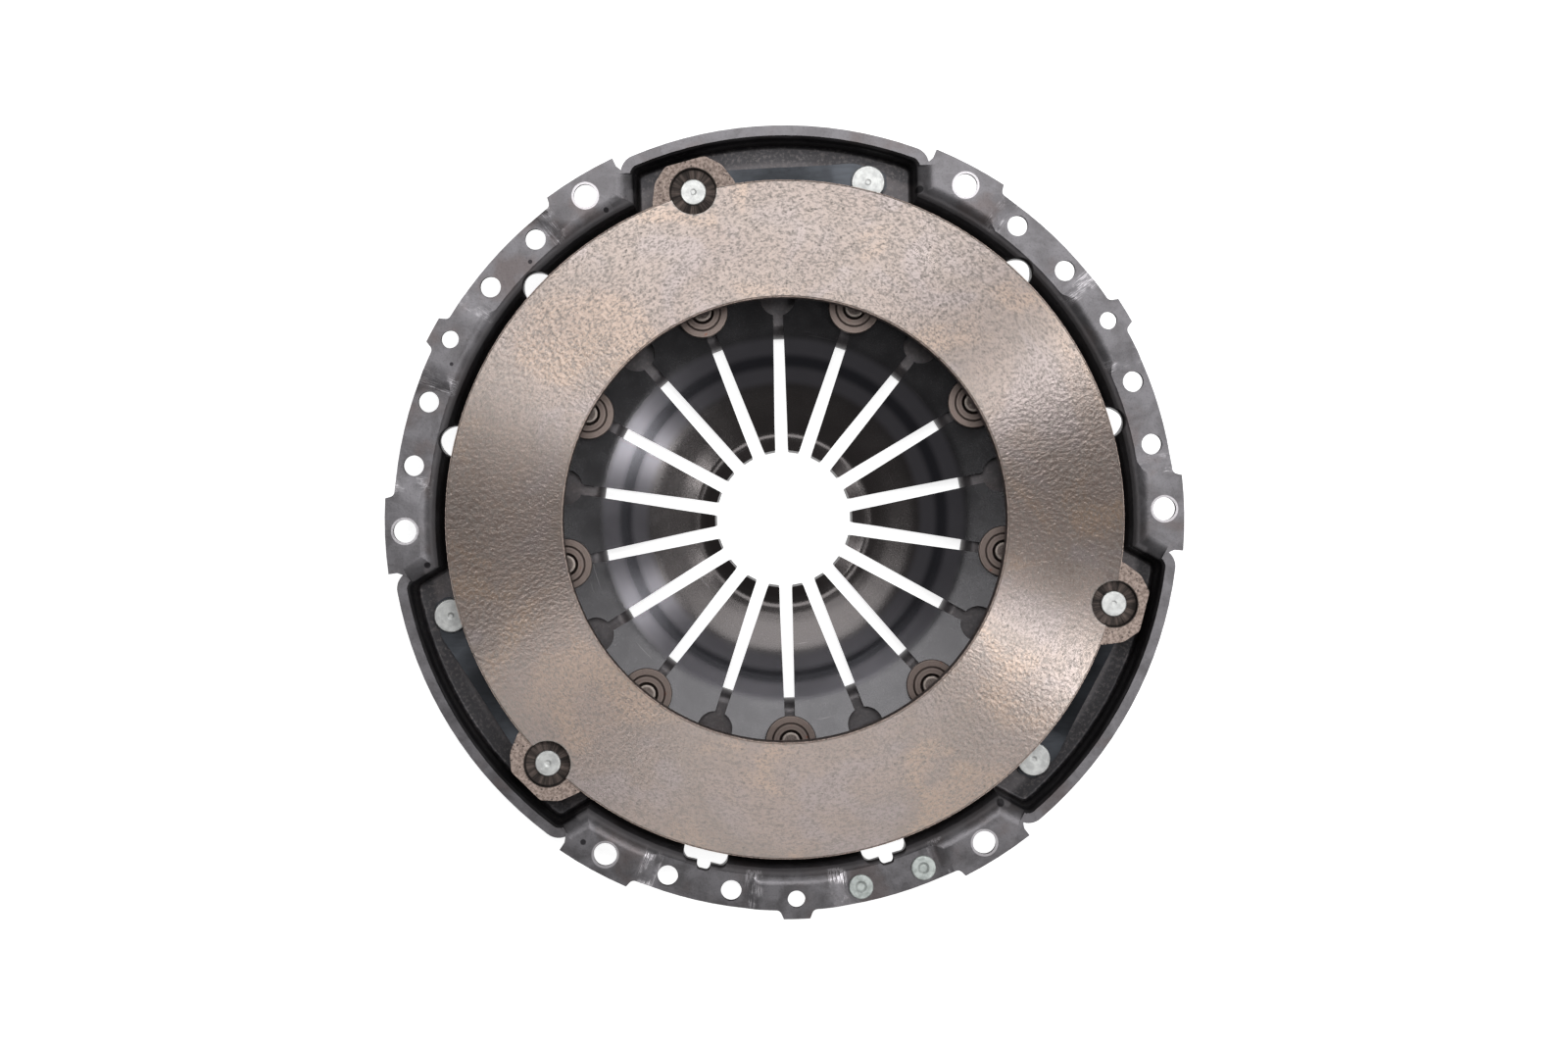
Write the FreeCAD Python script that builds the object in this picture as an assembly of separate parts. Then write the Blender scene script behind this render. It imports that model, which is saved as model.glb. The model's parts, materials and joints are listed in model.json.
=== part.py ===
import FreeCAD, Part
import math
import os

from FreeCAD import Vector

# Diaphragm spring clutch cover for a 240 mm driven disc. Lengths are millimetres, angles are degrees.
# Z is the clutch axis and points to the flywheel. The flange pads meet the flywheel at Z = 0.

# Running clearances and fits
moving_gap = 0.3
seat_gap = 0.05
pin_gap = 0.1
lug_clearance = 4.5
wall_clearance = 5.5
spring_clearance = 4.0
disc_clearance = 3.5

# Pattern of the clutch: three strap pockets with three bolting sectors between them
sector_count = 3
first_pocket_angle = 90.0
finger_count = 18

# Travel of the pressure plate from free to fully released, and what the straps are bent by beyond it
plate_travel = 5.5
strap_preload = 3.8

# Pressure plate casting
friction_outer_r = 120.0
friction_inner_r = 78.7
face_height = 1.0
inner_web_thickness = 12.0
body_thickness = 15.0
rim_thickness = 10.5
body_width = 13.8
body_shoulder = 0.3
web_slope_width = 3.0
ridge_width = 4.4
ridge_draft = 0.5
ridge_edge_round = 1.5
ridge_notch_width = 5.0
face_chamfer = 0.6
casting_fillet = 1.5
rim_root_fillet = 1.0

# Lugs of the pressure plate
lug_angle = 14.0
lug_step = 1.2
lug_reach = 11.3
lug_shoulder_drop = 4.45
lug_tip_half_width = 7.2
lug_shoulder_half_width = 12.2
lug_root_half_width = 15.6
lug_root_taper = 0.6
lug_overlap = 8.0
lug_corner_r = 5.0
lug_tip_corner_r = 2.5
lug_rivet_outset = 0.3
counterbore_radius = 8.2
counterbore_depth = 4.5

# Cover pressing
sheet = 3.5
flange_bend = 5.0
flange_edge_margin = 12.7
flange_end_slant = 6.0
lobe_height = 3.1
lobe_lead_angle = 4.8
lobe_end_gap = 2.75
lobe_slant_angle = 1.0
lobe_root_fillet = 2.0
tab_half_angle = 1.9
tab_slant_angle = 1.3
wall_draft = 12.0
wall_foot_bend = 3.0
lower_wall_draft = 3.0
lower_wall_bend = 4.2
back_bend = 3.0
opening_margin = 14.4
lip_height = 5.5
lip_bend = 5.0

# Raised embossing of the flange between the pads
recess_depth = 1.2
recess_start_angle = 6.0
recess_end_lead = 1.2
recess_ramp_angle = 1.7

# Strap pockets
pocket_rim_depth = 1.0
pocket_end_margin = 17.55
pocket_overlap = 14.5
pocket_draft = 5.0
pocket_side_draft = 6.0
pocket_corner_r = 3.0
pocket_floor_bend = 1.5
pocket_side_bend = 6.0
access_hole_radius = 6.0
access_run_out = 2.5

# Holes of the flange and windows of the wall
bolt_circle_margin = 8.8
bolt_hole_radius = 4.1
dowel_hole_radius = 3.1
balance_circle_margin = 7.1
balance_hole_radius = 3.65
balance_hole_angle = 10.0
window_angle = 15.0
window_offset = 5.7
window_radius = 5.7
slot_window_sector = 2
slot_window_width = 16.0
slot_window_undercut = 2.0
slot_window_overrun = 0.1
slot_window_corner = 2.5
slot_notch_width = 4.9
slot_notch_reach = 1.8
slot_notch_round = 1.4

# Diaphragm spring, cut into fingers
spring_thickness = 2.6
spring_margin = 9.5
contact_margin = 2.7
spring_lever = 20.8
finger_tip_r = 24.6
cone_angle = 8.5
finger_bend_inset = 8.6
finger_lean_angle = 12.6
finger_bend_radius = 18.0
crest_outset = 6.4
crest_angle = 16.0
crest_radius = 8.0
finger_parting = 0.25
slot_width_outside = 3.5
slot_width_inside = 4.6
slot_kink_outset = 9.4
keyhole_inset = 7.0
keyhole_radius = 6.4
tip_corner_r = 0.5

# Pivot rings and the shouldered rivets that hold them
ring_wire = 3.5
shoulder_radius = 4.7
neck_radius = 3.4
rear_shank_radius = 3.5
rear_head_radius = 6.0
rear_head_height = 2.2
rear_head_round = 1.3
disc_radius = 9.2
disc_brim = 1.5
disc_step_radius = 6.2
disc_rise = 0.7
disc_mouth_radius = 4.3
disc_mouth_depth = 1.3

# Drive straps
leaf_thickness = 0.6
leaves_per_strap = 3
strap_cover_angle = -15.6
strap_wall_margin = 11.4
strap_half_width = 7.4
strap_end_half_width = 3.2
strap_end_round = 3.0
strap_taper = 11.3
strap_shoulder_radius = 10.0
strap_overhang = 6.7
strap_clamped = 8.5
strap_curve_steps = 8

# Rivets of the straps, and balance rivets
lug_shank_radius = 3.9
lug_end_radius = 4.55
lug_end_height = 1.5
lug_head_radius = 6.0
lug_head_height = 2.4
cover_shank_radius = 3.6
cover_head_radius = 6.0
cover_head_height = 2.2
cover_tail_radius = 5.1
cover_tail_height = 2.2
balance_head_radius = 4.35
balance_head_height = 1.0
balance_tail_radius = 4.3
balance_tail_height = 3.0
balance_dimple_radius = 2.1
balance_dimple_floor_radius = 1.25
balance_dimple_depth = 0.5
edge_round = 0.4
head_round = 0.8

# Radii that follow: the lugs and the wall go round the friction ring, the flange round the wall
lug_reach_r = friction_outer_r + lug_reach
lug_rivet_r = friction_outer_r + lug_rivet_outset
pocket_reach_r = lug_reach_r + lug_clearance
strap_cover_r = pocket_reach_r - strap_wall_margin
wall_top_r = friction_outer_r + wall_clearance
flange_edge_r = wall_top_r + flange_edge_margin
lobe_r = flange_edge_r + lobe_height
bolt_circle_r = wall_top_r + bolt_circle_margin
balance_circle_r = wall_top_r + balance_circle_margin

# Radii that follow: the spring lies under the friction ring, and the lower wall goes round the spring
spring_outer_r = friction_outer_r - spring_margin
ridge_r = spring_outer_r - contact_margin
body_outer_r = ridge_r + ridge_width / 2 + body_shoulder
body_inner_r = body_outer_r - body_width
lower_wall_r = spring_outer_r + spring_clearance
pivot_r = ridge_r - spring_lever
keyhole_r = pivot_r - keyhole_inset
opening_r = keyhole_r - opening_margin
finger_bend_r = opening_r - finger_bend_inset
crest_r = finger_tip_r + crest_outset
slot_kink_r = finger_tip_r + slot_kink_outset
window_center_r = lower_wall_r + window_offset
slot_window_inner_r = lower_wall_r - slot_window_undercut
slot_window_outer_r = wall_top_r + slot_window_overrun
pocket_root_y = lower_wall_r - pocket_overlap

# Angles that follow
pocket_step = 360.0 / sector_count
finger_step = 360.0 / finger_count
first_flange_angle = first_pocket_angle - pocket_step / 2
bolt_angle = pocket_step / 4
pocket_half_width = strap_cover_r * math.sin(math.radians(-strap_cover_angle)) + pocket_end_margin
lobe_end_angle = pocket_step / 2 - math.degrees(math.asin((pocket_half_width + sheet + lobe_end_gap) / lobe_r))
lobe_start_angle = bolt_angle - lobe_lead_angle
recess_end_angle = lobe_start_angle - recess_end_lead

# Heights that follow, from the friction face down to the back of the cover
web_z = face_height - inner_web_thickness
body_z = face_height - body_thickness
rim_under_z = face_height - rim_thickness
lug_top_z = face_height - lug_step
counterbore_z = face_height - counterbore_depth
strap_thickness = leaf_thickness * leaves_per_strap
strap_rise = plate_travel + strap_preload
shoulder_z = rim_under_z - strap_thickness - strap_rise
disc_top_z = web_z - plate_travel - disc_clearance
disc_z = disc_top_z - disc_rise - disc_brim
front_ring_z = disc_z - seat_gap - ring_wire / 2
pivot_z = front_ring_z - ring_wire / 2 - moving_gap - spring_thickness / 2
rear_ring_z = pivot_z - spring_thickness / 2 - moving_gap - ring_wire / 2
back_inner_z = rear_ring_z - ring_wire / 2 - seat_gap
back_z = back_inner_z - sheet
lip_z = back_z - lip_height
spring_top_offset = spring_thickness / 2 / math.cos(math.radians(cone_angle))
ridge_contact_z = pivot_z + (ridge_r - pivot_r) * math.tan(math.radians(cone_angle)) + spring_top_offset
ridge_tip_z = ridge_contact_z + moving_gap


def polar(radius, angle, z=0.0):
    a = math.radians(angle)
    return Vector(radius * math.cos(a), radius * math.sin(a), z)


def section_point(r, z):
    return Vector(r, 0, z)


def plan_point(x, y):
    return Vector(x, y, 0)


def spun(shape, angle):
    turned = shape.copy()
    turned.rotate(Vector(0, 0, 0), Vector(0, 0, 1), angle)
    return turned


def moved(shape, x, y, z):
    shifted = shape.copy()
    shifted.translate(Vector(x, y, z))
    return shifted


def rounded_edges(corners, place, closed):
    """Straight edges through (u, v, radius) corners, with an arc of that radius at each corner."""
    points = [place(u, v) for u, v, radius in corners]
    count = len(points)
    edges = []
    last = None
    start = None
    for i in range(count):
        here = points[i]
        radius = corners[i][2]
        if radius > 0 and (closed or 0 < i < count - 1):
            back = (points[i - 1] - here).normalize()
            ahead = (points[(i + 1) % count] - here).normalize()
            half = back.getAngle(ahead) / 2
            cut = radius / math.tan(half)
            middle = (back + ahead).normalize() * (radius / math.sin(half) - radius)
            entry = here + back * cut
            leave = here + ahead * cut
            if last is not None:
                edges.append(Part.makeLine(last, entry))
            edges.append(Part.Arc(entry, here + middle, leave).toShape())
            start = start or entry
            last = leave
        else:
            if last is not None:
                edges.append(Part.makeLine(last, here))
            start = start or here
            last = here
    if closed:
        edges.append(Part.makeLine(last, start))
    return edges


def rounded_face(corners, place):
    return Part.Face(Part.Wire(rounded_edges(corners, place, True)))


def turned_solid(corners, sweep=360.0, start=0.0):
    """Solid of revolution about Z of a section given as (r, z, radius) corners."""
    face = rounded_face(corners, section_point)
    return spun(face.revolve(Vector(0, 0, 0), Vector(0, 0, 1), sweep), start)


def upright(corners, low, high):
    """Prism with a plan of (x, y, radius) corners between two heights."""
    return moved(rounded_face(corners, plan_point), 0, 0, low).extrude(Vector(0, 0, high - low))


def drum(radius, low, high, x=0.0, y=0.0):
    return Part.makeCylinder(radius, high - low, Vector(x, y, low))


def drum_at(radius, low, high, circle_r, angle):
    center = polar(circle_r, angle)
    return drum(radius, low, high, center.x, center.y)


def sector(inner_r, outer_r, inner_angles, outer_angles, low, high):
    """Slab between two radii, whose ends may slant from one angle to another."""
    a0, a1 = inner_angles
    b0, b1 = outer_angles
    face = Part.Face(sector_wire(inner_r, outer_r, (a0, a1), (b0, b1), low))
    return face.extrude(Vector(0, 0, high - low))


def sector_wire(inner_r, outer_r, inner_angles, outer_angles, z):
    a0, a1 = inner_angles
    b0, b1 = outer_angles
    inner = Part.Arc(polar(inner_r, a0, z), polar(inner_r, (a0 + a1) / 2, z), polar(inner_r, a1, z))
    outer = Part.Arc(polar(outer_r, b0, z), polar(outer_r, (b0 + b1) / 2, z), polar(outer_r, b1, z))
    ends = [
        Part.makeLine(polar(inner_r, a1, z), polar(outer_r, b1, z)),
        Part.makeLine(polar(inner_r, a0, z), polar(outer_r, b0, z)),
    ]
    return Part.Wire(Part.__sortEdges__([inner.toShape(), outer.toShape()] + ends))


def line_meeting(p, p_ahead, q, q_ahead):
    """Point where two lines of the section meet."""
    ux, uz = p_ahead[0] - p[0], p_ahead[1] - p[1]
    vx, vz = q_ahead[0] - q[0], q_ahead[1] - q[1]
    along = ((q[0] - p[0]) * vz - (q[1] - p[1]) * vx) / (ux * vz - uz * vx)
    return p[0] + ux * along, p[1] + uz * along


def parallel_path(path, distance):
    """Path beside a path of (r, z, bend) corners, to the left of its direction, with concentric bends."""
    sides = []
    for (r0, z0, _), (r1, z1, _) in zip(path, path[1:]):
        length = math.hypot(r1 - r0, z1 - z0)
        shift_r = -(z1 - z0) / length * distance
        shift_z = (r1 - r0) / length * distance
        sides.append(((r0 + shift_r, z0 + shift_z), (r1 + shift_r, z1 + shift_z)))
    corners = [(sides[0][0][0], sides[0][0][1], 0)]
    for i in range(1, len(sides)):
        before, after = sides[i - 1], sides[i]
        r, z = line_meeting(before[0], before[1], after[0], after[1])
        turn = (before[1][0] - before[0][0]) * (after[1][1] - after[0][1])
        turn -= (before[1][1] - before[0][1]) * (after[1][0] - after[0][0])
        bend = path[i][2] - math.copysign(distance, turn)
        corners.append((r, z, bend))
    corners.append((sides[-1][1][0], sides[-1][1][1], 0))
    return corners


def one_solid(shape):
    """The single solid of a shape, with faces that lie in one surface joined."""
    clean = shape.removeSplitter()
    return max(clean.Solids, key=lambda solid: solid.Volume)


def group(solids):
    return Part.makeCompound(solids)


def save(shape, name):
    shape.exportStep(os.path.join("parts", name + ".step"))


# The cover pressing

def bowl_path():
    """Inside of the bowl in section, from the flange down to the lip of the rear opening."""
    lean = math.tan(math.radians(wall_draft))
    lower_lean = math.tan(math.radians(lower_wall_draft))
    foot_r = wall_top_r + shoulder_z * lean
    lower_foot_r = lower_wall_r - (shoulder_z - back_inner_z) * lower_lean
    return [
        (flange_edge_r - sheet, 0, 0),
        (wall_top_r, 0, flange_bend),
        (foot_r, shoulder_z, wall_foot_bend),
        (lower_wall_r, shoulder_z, lower_wall_bend),
        (lower_foot_r, back_inner_z, back_bend),
        (opening_r, back_inner_z, lip_bend),
        (opening_r, lip_z, 0),
    ]


def bowl_outer():
    outside = parallel_path(bowl_path(), sheet)
    top_r = outside[0][0]
    corners = [(0, 0, 0), (top_r, 0, 0)] + outside + [(0, lip_z, 0)]
    return turned_solid(corners)


def bowl_void():
    path = bowl_path()
    top_r = path[0][0]
    corners = [(0, sheet, 0), (top_r, sheet, 0)] + path
    below = [(opening_r, lip_z - sheet, 0), (0, lip_z - sheet, 0)]
    return turned_solid(corners[:-1] + below)


def pocket_corner_center(half, reach, corner):
    """Centre of the round corner between a pocket's side and its outer arc."""
    return Vector(half - corner, math.sqrt((reach - corner) ** 2 - (half - corner) ** 2), 0)


def pocket_plan(z, offset):
    """Outline of a strap pocket at one height: straight drafted sides and an arc about the axis."""
    drop = -pocket_rim_depth - z
    side_lean = math.tan(math.radians(pocket_side_draft))
    reach_lean = math.tan(math.radians(pocket_draft))
    half = pocket_half_width - drop * side_lean + offset / math.cos(math.radians(pocket_side_draft))
    reach = pocket_reach_r - drop * reach_lean + offset / math.cos(math.radians(pocket_draft))
    corner = pocket_corner_r + offset
    center = pocket_corner_center(half, reach, corner)
    out = Vector(center).normalize()
    side_point = Vector(half, center.y, 0)
    reach_point = out * reach
    between = (Vector(1, 0, 0) + out).normalize()
    corner_point = center + between * corner

    def right(p):
        return Vector(p.x, p.y, z)

    def left(p):
        return Vector(-p.x, p.y, z)

    foot = Vector(half, pocket_root_y, 0)
    edges = [
        Part.makeLine(right(foot), right(side_point)),
        Part.Arc(right(side_point), right(corner_point), right(reach_point)).toShape(),
        Part.Arc(right(reach_point), Vector(0, reach, z), left(reach_point)).toShape(),
        Part.Arc(left(reach_point), left(corner_point), left(side_point)).toShape(),
        Part.makeLine(left(side_point), left(foot)),
        Part.makeLine(left(foot), right(foot)),
    ]
    return Part.Wire(edges)


def pocket_form(floor_z, top_z, offset, bend):
    """Drafted block of a pocket with its floor edge rounded."""
    block = Part.makeLoft([pocket_plan(floor_z, offset), pocket_plan(top_z, offset)], True, True)
    floor_edges = [
        edge for edge in block.Edges
        if edge.BoundBox.ZMax < floor_z + seat_gap and edge.BoundBox.YMax > pocket_root_y + seat_gap
    ]
    return block.makeFillet(bend, floor_edges)


def pocket_side_bends():
    """What is cut away where the flange bends down into the sides of a pocket."""
    lean = math.tan(math.radians(pocket_side_draft))
    top_x = pocket_half_width + pocket_rim_depth * lean
    low_x = top_x - 2 * pocket_side_bend * lean
    corners = [
        (top_x + 2 * pocket_side_bend, 0, 0),
        (top_x, 0, pocket_side_bend),
        (low_x, -2 * pocket_side_bend, 0),
    ]
    edges = rounded_edges(corners, section_point, False)
    outer = edges[0].Vertexes[0].Point
    lower = edges[-1].Vertexes[-1].Point
    corner_above = Vector(lower.x, 0, sheet)
    outer_above = Vector(outer.x, 0, sheet)
    edges.append(Part.makeLine(lower, corner_above))
    edges.append(Part.makeLine(corner_above, outer_above))
    edges.append(Part.makeLine(outer_above, outer))
    face = Part.Face(Part.Wire(edges))
    corner = pocket_corner_center(pocket_half_width, pocket_reach_r, pocket_corner_r)
    bar = moved(face, 0, pocket_root_y, 0).extrude(Vector(0, corner.y - pocket_root_y, 0))
    mirrored = bar.mirror(Vector(0, 0, 0), Vector(1, 0, 0))
    return [bar, mirrored]


def flange_plate():
    """One bolting sector of the flange, centred on the X axis."""
    inner_r = lower_wall_r
    reach = lobe_end_angle
    root_reach = reach + flange_end_slant
    slab = sector(inner_r, flange_edge_r, (-root_reach, root_reach), (-reach, reach), -sheet, 0)
    parts = []
    for side in (-1, 1):
        start = side * lobe_start_angle
        root = side * (lobe_start_angle - lobe_slant_angle)
        end = side * lobe_end_angle
        inner = sorted((root, end))
        outer = sorted((start, end))
        parts.append(sector(flange_edge_r - sheet, lobe_r, inner, outer, -sheet, 0))
    root = tab_half_angle + tab_slant_angle
    tab = sector(flange_edge_r - sheet, lobe_r, (-root, root), (-tab_half_angle, tab_half_angle), -sheet, 0)
    plate = slab.multiFuse(parts + [tab]).removeSplitter()
    notches = [edge for edge in plate.Edges if is_lobe_root(edge)]
    return plate.makeFillet(lobe_root_fillet, notches)


def is_lobe_root(edge):
    """An upright edge where a lobe or the tab rises from the flange's outer edge."""
    if edge.BoundBox.ZLength < sheet / 2:
        return False
    middle = edge.CenterOfMass
    radius = math.hypot(middle.x, middle.y)
    angle = abs(math.degrees(math.atan2(middle.y, middle.x)))
    return abs(radius - flange_edge_r) < pin_gap and angle < lobe_start_angle


def recess_block(low, high, spread_low, spread_high):
    """Slab over one recessed zone, with ramps at both ends."""
    inner_r = lower_wall_r
    outer_r = lobe_r + sheet
    wires = []
    for z, spread in ((low, spread_low), (high, spread_high)):
        angles = (recess_start_angle + recess_ramp_angle - spread, recess_end_angle - recess_ramp_angle + spread)
        wires.append(sector_wire(inner_r, outer_r, angles, angles, z))
    return Part.makeLoft(wires, True, True)


def recess_tray():
    spread = recess_ramp_angle * (1 + sheet / recess_depth)
    return recess_block(-recess_depth, sheet, 0, spread)


def recess_boss():
    low = -sheet - recess_depth
    block = recess_block(low, -sheet / 2, 0, recess_ramp_angle * (1 + sheet / 2 / recess_depth))
    rim = drum(flange_edge_r, low - sheet, sheet)
    return block.common(rim)


def on_both_sides(shape, angle):
    """The shape and its mirror image across the middle of a flange sector at that angle."""
    mirrored = shape.mirror(Vector(0, 0, 0), Vector(0, 1, 0))
    return [spun(shape, angle), spun(mirrored, angle)]


def flange_angles():
    return [first_flange_angle + i * pocket_step for i in range(sector_count)]


def pocket_turns():
    return [i * pocket_step for i in range(sector_count)]


def flange_holes(angle):
    low = -2 * sheet
    high = sheet
    holes = [drum_at(dowel_hole_radius, low, high, bolt_circle_r, angle)]
    for side in (-1, 1):
        holes.append(drum_at(bolt_hole_radius, low, high, bolt_circle_r, angle + side * bolt_angle))
        for i in (1, 2):
            place = angle + side * i * balance_hole_angle
            holes.append(drum_at(balance_hole_radius, low, high, balance_circle_r, place))
    return holes


def slot_window():
    """Window with a notch in its outer edge, in plan, centred on the X axis."""
    half = slot_window_width / 2
    notch = slot_notch_width / 2
    tip_r = slot_window_outer_r + slot_notch_reach
    corners = [
        (slot_window_inner_r, -half, slot_window_corner),
        (slot_window_outer_r, -half, slot_window_corner),
        (slot_window_outer_r, -notch, 0),
        (tip_r, -notch, slot_notch_round),
        (tip_r, notch, slot_notch_round),
        (slot_window_outer_r, notch, 0),
        (slot_window_outer_r, half, slot_window_corner),
        (slot_window_inner_r, half, slot_window_corner),
    ]
    return upright(corners, lip_z, sheet)


def wall_windows(index, angle):
    windows = []
    for side in (-1, 1):
        place = angle + side * window_angle
        if index == slot_window_sector:
            windows.append(spun(slot_window(), place))
        else:
            windows.append(drum_at(window_radius, lip_z, sheet, window_center_r, place))
    return windows


def rivet_angles():
    """Every second keyhole holds a shouldered rivet."""
    return [(i + 0.5) * finger_step for i in range(1, finger_count, 2)]


def strap_points():
    """Ends of a strap on the lug and on the cover, in the first pocket."""
    lug_end = polar(lug_rivet_r, first_pocket_angle + lug_angle)
    cover_end = polar(strap_cover_r, first_pocket_angle + strap_cover_angle)
    return lug_end, cover_end


def rivet_holes():
    holes = []
    for angle in rivet_angles():
        hole = drum_at(rear_shank_radius + pin_gap / 2, lip_z, shoulder_z, keyhole_r, angle)
        holes.append(hole)
    lug_end, cover_end = strap_points()
    for turn in pocket_turns():
        strap_hole = drum(cover_shank_radius + pin_gap / 2, back_z, 0, cover_end.x, cover_end.y)
        access_low = shoulder_z - sheet - access_run_out
        access = drum(access_hole_radius, access_low, 0, lug_end.x, lug_end.y)
        holes.append(spun(strap_hole, turn))
        holes.append(spun(access, turn))
    return holes


def cover():
    outside = [bowl_outer()]
    inside = [bowl_void()]
    outer_pocket = pocket_form(shoulder_z - sheet, -pocket_rim_depth, sheet, pocket_floor_bend + sheet)
    inner_pocket = pocket_form(shoulder_z, sheet, 0, pocket_floor_bend)
    for turn in pocket_turns():
        outside.append(spun(outer_pocket, turn))
        inside.append(spun(inner_pocket, turn))
        inside.extend(spun(bend, turn) for bend in pocket_side_bends())
    for index, angle in enumerate(flange_angles()):
        outside.append(spun(flange_plate(), angle))
        outside.extend(on_both_sides(recess_boss(), angle))
        inside.extend(on_both_sides(recess_tray(), angle))
        inside.extend(flange_holes(angle))
        inside.extend(wall_windows(index, angle))
    body = outside[0].multiFuse(outside[1:])
    return one_solid(body.cut(inside + rivet_holes()))


# The pressure plate

def plate_blank():
    ridge_inner = ridge_r - ridge_width / 2
    ridge_outer = ridge_r + ridge_width / 2
    corners = [
        (friction_inner_r, face_height - face_chamfer, 0),
        (friction_inner_r + face_chamfer, face_height, 0),
        (friction_outer_r - face_chamfer, face_height, 0),
        (friction_outer_r, face_height - face_chamfer, 0),
        (friction_outer_r, rim_under_z, casting_fillet),
        (body_outer_r, rim_under_z, rim_root_fillet),
        (ridge_outer, ridge_tip_z, ridge_edge_round),
        (ridge_inner, ridge_tip_z, ridge_edge_round),
        (ridge_inner - ridge_draft, body_z, casting_fillet),
        (body_inner_r, body_z, casting_fillet),
        (body_inner_r - web_slope_width, web_z, casting_fillet),
        (friction_inner_r, web_z, casting_fillet),
    ]
    return turned_solid(corners)


def lug():
    """One lug in plan, centred on the X axis, with rounded shoulders."""
    root_x = friction_outer_r - lug_overlap
    shoulder_x = lug_reach_r - lug_shoulder_drop
    half = [
        (root_x, lug_root_half_width, 0),
        (friction_outer_r, lug_root_half_width - lug_root_taper, lug_corner_r),
        (shoulder_x, lug_shoulder_half_width, lug_corner_r),
        (lug_reach_r, lug_tip_half_width, lug_tip_corner_r),
    ]
    other = [(x, -y, radius) for x, y, radius in reversed(half)]
    return upright(half + other, rim_under_z, lug_top_z)


def ridge_notches():
    """Cooling passages through the fulcrum ridge, between the fingers."""
    box = Part.makeBox(4 * ridge_width, ridge_notch_width, body_z - back_z)
    box.translate(Vector(ridge_r - 2 * ridge_width, -ridge_notch_width / 2, back_z))
    return [spun(box, (i + 0.5) * finger_step) for i in range(finger_count)]


def pressure_plate():
    lug_turn = first_pocket_angle + lug_angle
    body = plate_blank()
    body = body.multiFuse([spun(lug(), lug_turn + turn) for turn in pocket_turns()])
    tools = ridge_notches()
    for turn in pocket_turns():
        place = lug_turn + turn
        tools.append(drum_at(counterbore_radius, counterbore_z, face_height + sheet, lug_rivet_r, place))
        tools.append(drum_at(lug_shank_radius + pin_gap / 2, back_z, face_height, lug_rivet_r, place))
    return one_solid(body.cut(tools))


# The diaphragm spring

def finger_section():
    """Middle line of the spring in section, from the tip out to the edge that lifts the plate."""
    outer_lean = math.tan(math.radians(cone_angle))
    inner_lean = math.tan(math.radians(finger_lean_angle))
    tip_lean = math.tan(math.radians(crest_angle))
    bend_z = pivot_z - (pivot_r - finger_bend_r) * outer_lean
    crest_z = bend_z - (finger_bend_r - crest_r) * inner_lean
    tip_z = crest_z + (crest_r - finger_tip_r) * tip_lean
    edge_r = spring_outer_r - spring_thickness / 2 * math.sin(math.radians(cone_angle))
    edge_z = pivot_z + (edge_r - pivot_r) * outer_lean
    return [
        (finger_tip_r, tip_z, 0),
        (crest_r, crest_z, crest_radius),
        (finger_bend_r, bend_z, finger_bend_radius),
        (edge_r, edge_z, 0),
    ]


def finger_band():
    middle = finger_section()
    upper = parallel_path(middle, spring_thickness / 2)
    lower = parallel_path(middle, -spring_thickness / 2)
    start = -finger_step / 2 - 1
    return turned_solid(upper + list(reversed(lower)), finger_step + 2, start)


def slot_cutter():
    """One slot between fingers with its keyhole, in plan along the X axis."""
    wide = slot_width_inside / 2
    narrow = slot_width_outside / 2
    half = [
        (finger_tip_r - 2, wide, 0),
        (slot_kink_r, wide, 0),
        (keyhole_r, narrow, 0),
    ]
    other = [(x, -y, radius) for x, y, radius in reversed(half)]
    slot = upright(half + other, lip_z, 0)
    keyhole = drum(keyhole_radius, lip_z, 0, keyhole_r)
    parting = Part.makeBox(spring_outer_r - keyhole_r + 2, finger_parting, -lip_z)
    parting.translate(Vector(keyhole_r, -finger_parting / 2, lip_z))
    return slot.multiFuse([keyhole, parting])


def beyond_slot(side):
    """Everything past the middle of the slot on one side of a finger."""
    block = Part.makeBox(2 * spring_outer_r, spring_outer_r, -lip_z)
    block.translate(Vector(0, 0, lip_z))
    if side < 0:
        block.translate(Vector(0, -spring_outer_r, 0))
    return spun(block, side * finger_step / 2)


def finger():
    """One finger with its share of the outer ring, centred on the X axis, with round corners at its tip."""
    cutter = slot_cutter()
    tools = []
    for side in (-1, 1):
        tools.append(spun(cutter, side * finger_step / 2))
        tools.append(beyond_slot(side))
    piece = one_solid(finger_band().cut(tools))
    return piece.makeFillet(tip_corner_r, [edge for edge in piece.Edges if is_tip_corner(edge)])


def is_tip_corner(edge):
    """A short edge through the thickness of the spring at the finger's tip."""
    middle = edge.CenterOfMass
    near_tip = math.hypot(middle.x, middle.y) < finger_tip_r + spring_thickness / 2
    return near_tip and edge.Length < spring_thickness + moving_gap


def pivot_ring(z):
    return Part.makeTorus(pivot_r, ring_wire / 2, Vector(0, 0, z))


def spacer_rivet():
    """Shouldered rivet: rear head, shank through the cover, shoulder in the keyhole and formed front end."""
    corners = [
        (0, back_z - rear_head_height, 0),
        (rear_head_radius, back_z - rear_head_height, rear_head_round),
        (rear_head_radius, back_z, 0),
        (rear_shank_radius, back_z, 0),
        (rear_shank_radius, back_inner_z, 0),
        (shoulder_radius, back_inner_z, 0),
        (shoulder_radius, disc_z, 0),
        (neck_radius, disc_z, 0),
        (neck_radius, disc_top_z, edge_round),
        (0, disc_top_z, 0),
    ]
    return turned_solid(corners)


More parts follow.
